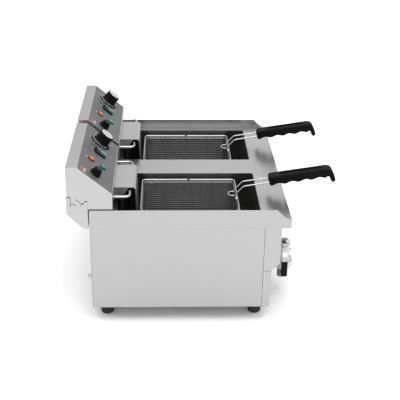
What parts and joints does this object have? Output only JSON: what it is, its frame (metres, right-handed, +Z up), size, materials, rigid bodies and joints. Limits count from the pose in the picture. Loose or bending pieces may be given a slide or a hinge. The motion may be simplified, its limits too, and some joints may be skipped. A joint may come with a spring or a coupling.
{
  "type": "deep fryer",
  "caption": "Countertop electric deep fryer with twin tanks, tilting control heads, wire baskets with black grips, and front drain taps.",
  "frame": {"origin": "middle of the object's box, on the surface the feet stand on", "axes": "+X to the user's right, -Y to the front where the taps and grips are, +Z up"},
  "size_m": [0.5772, 0.618, 0.3933],
  "materials": {
    "stainless": "brushed, satin",
    "tank_steel": "deep-drawn, satin",
    "chrome": "polished plating",
    "bright_wire": "bright nickel-plated wire",
    "mesh_wire": "woven wire",
    "element_steel": "heat-tinted tube",
    "black_plastic": "moulded, lightly textured",
    "gloss_black": "moulded, glossy",
    "fascia_grey": "satin dark grey film",
    "switch_green": "translucent moulded",
    "amber_lens": "moulded lens",
    "green_lens": "moulded lens",
    "foot_rubber": "moulded",
    "inner_plastic": "moulded"
  },
  "bodies": {
    "cabinet": {"worktop": "stainless", "side_panel_left": "stainless", "side_panel_right": "stainless", "rear_panel": "stainless", "base_plate": "stainless", "front_panel": "stainless", "feet": "foot_rubber", "bonding_stud": "chrome", "tank_left": "tank_steel", "tap_left": "chrome", "hinge_bracket_left": "stainless", "tank_right": "tank_steel", "tap_right": "chrome", "hinge_bracket_right": "stainless"},
    "head_left": {"head_casing_left": "stainless", "hinge_studs_left": "chrome", "head_underplate_left": "stainless", "casing_screws_left": "chrome", "cable_gland_left": "black_plastic", "heater_bracket_left": "stainless", "hang_rod_left": "bright_wire", "heating_element_left": "element_steel", "probe_bulbs_left": "chrome", "head_fascia_left": "fascia_grey", "thermostat_left": "inner_plastic", "rocker_housing_left": "gloss_black", "amber_lamp_left": "amber_lens", "green_lamp_left": "green_lens", "reset_collar_left": "black_plastic"},
    "knob_left": {"thermostat_knob_left": "gloss_black"},
    "rocker_left": {"rocker_left": "switch_green"},
    "reset_left": {"reset_button_left": "gloss_black"},
    "lever_left": {"tap_lever_left": "chrome", "lever_sleeve_left": "black_plastic"},
    "basket_left": {"basket_frame_left": "bright_wire", "basket_mesh_left": "mesh_wire", "basket_grip_left": "black_plastic"},
    "head_right": {"head_casing_right": "stainless", "hinge_studs_right": "chrome", "head_underplate_right": "stainless", "casing_screws_right": "chrome", "cable_gland_right": "black_plastic", "heater_bracket_right": "stainless", "hang_rod_right": "bright_wire", "heating_element_right": "element_steel", "probe_bulbs_right": "chrome", "head_fascia_right": "fascia_grey", "thermostat_right": "inner_plastic", "rocker_housing_right": "gloss_black", "amber_lamp_right": "amber_lens", "green_lamp_right": "green_lens", "reset_collar_right": "black_plastic"},
    "knob_right": {"thermostat_knob_right": "gloss_black"},
    "rocker_right": {"rocker_right": "switch_green"},
    "reset_right": {"reset_button_right": "gloss_black"},
    "lever_right": {"tap_lever_right": "chrome", "lever_sleeve_right": "black_plastic"},
    "basket_right": {"basket_frame_right": "bright_wire", "basket_mesh_right": "mesh_wire", "basket_grip_right": "black_plastic"}
  },
  "joints": [
    {"name": "head_tilt_left", "type": "hinge", "parent": "cabinet", "child": "head_left", "pos_m": [-0.148, 0.29305, 0.2975], "axis": [-1, 0, 0], "range_deg": [0, 80]},
    {"name": "basket_lift_left", "type": "slide", "parent": "head_left", "child": "basket_left", "axis": [0, 0, 1], "range_m": [0, 0.26]},
    {"name": "knob_turn_left", "type": "hinge", "parent": "head_left", "child": "knob_left", "pos_m": [-0.064, 0.24631, 0.36043], "axis": [0, 0.6428, -0.766], "range_deg": [0, 280]},
    {"name": "rocker_tip_left", "type": "hinge", "parent": "head_left", "child": "rocker_left", "pos_m": [-0.126, 0.24518, 0.35556], "axis": [-1, 0, 0], "range_deg": [0, 20]},
    {"name": "reset_press_left", "type": "slide", "parent": "head_left", "child": "reset_left", "axis": [0, 0.6428, -0.766], "range_m": [0, 0.003], "stiffness_N_per_m": 600, "springref_m": -0.0008},
    {"name": "lever_turn_left", "type": "hinge", "parent": "cabinet", "child": "lever_left", "pos_m": [-0.148, -0.19845, 0.127], "axis": [-1, 0, 0], "range_deg": [0, 90]},
    {"name": "head_tilt_right", "type": "hinge", "parent": "cabinet", "child": "head_right", "pos_m": [0.148, 0.29305, 0.2975], "axis": [-1, 0, 0], "range_deg": [0, 80]},
    {"name": "basket_lift_right", "type": "slide", "parent": "head_right", "child": "basket_right", "axis": [0, 0, 1], "range_m": [0, 0.26]},
    {"name": "knob_turn_right", "type": "hinge", "parent": "head_right", "child": "knob_right", "pos_m": [0.232, 0.24631, 0.36043], "axis": [0, 0.6428, -0.766], "range_deg": [0, 280]},
    {"name": "rocker_tip_right", "type": "hinge", "parent": "head_right", "child": "rocker_right", "pos_m": [0.17, 0.24518, 0.35556], "axis": [-1, 0, 0], "range_deg": [0, 20]},
    {"name": "reset_press_right", "type": "slide", "parent": "head_right", "child": "reset_right", "axis": [0, 0.6428, -0.766], "range_m": [0, 0.003], "stiffness_N_per_m": 600, "springref_m": -0.0008},
    {"name": "lever_turn_right", "type": "hinge", "parent": "cabinet", "child": "lever_right", "pos_m": [0.148, -0.19845, 0.127], "axis": [-1, 0, 0], "range_deg": [0, 90]}
  ]
}
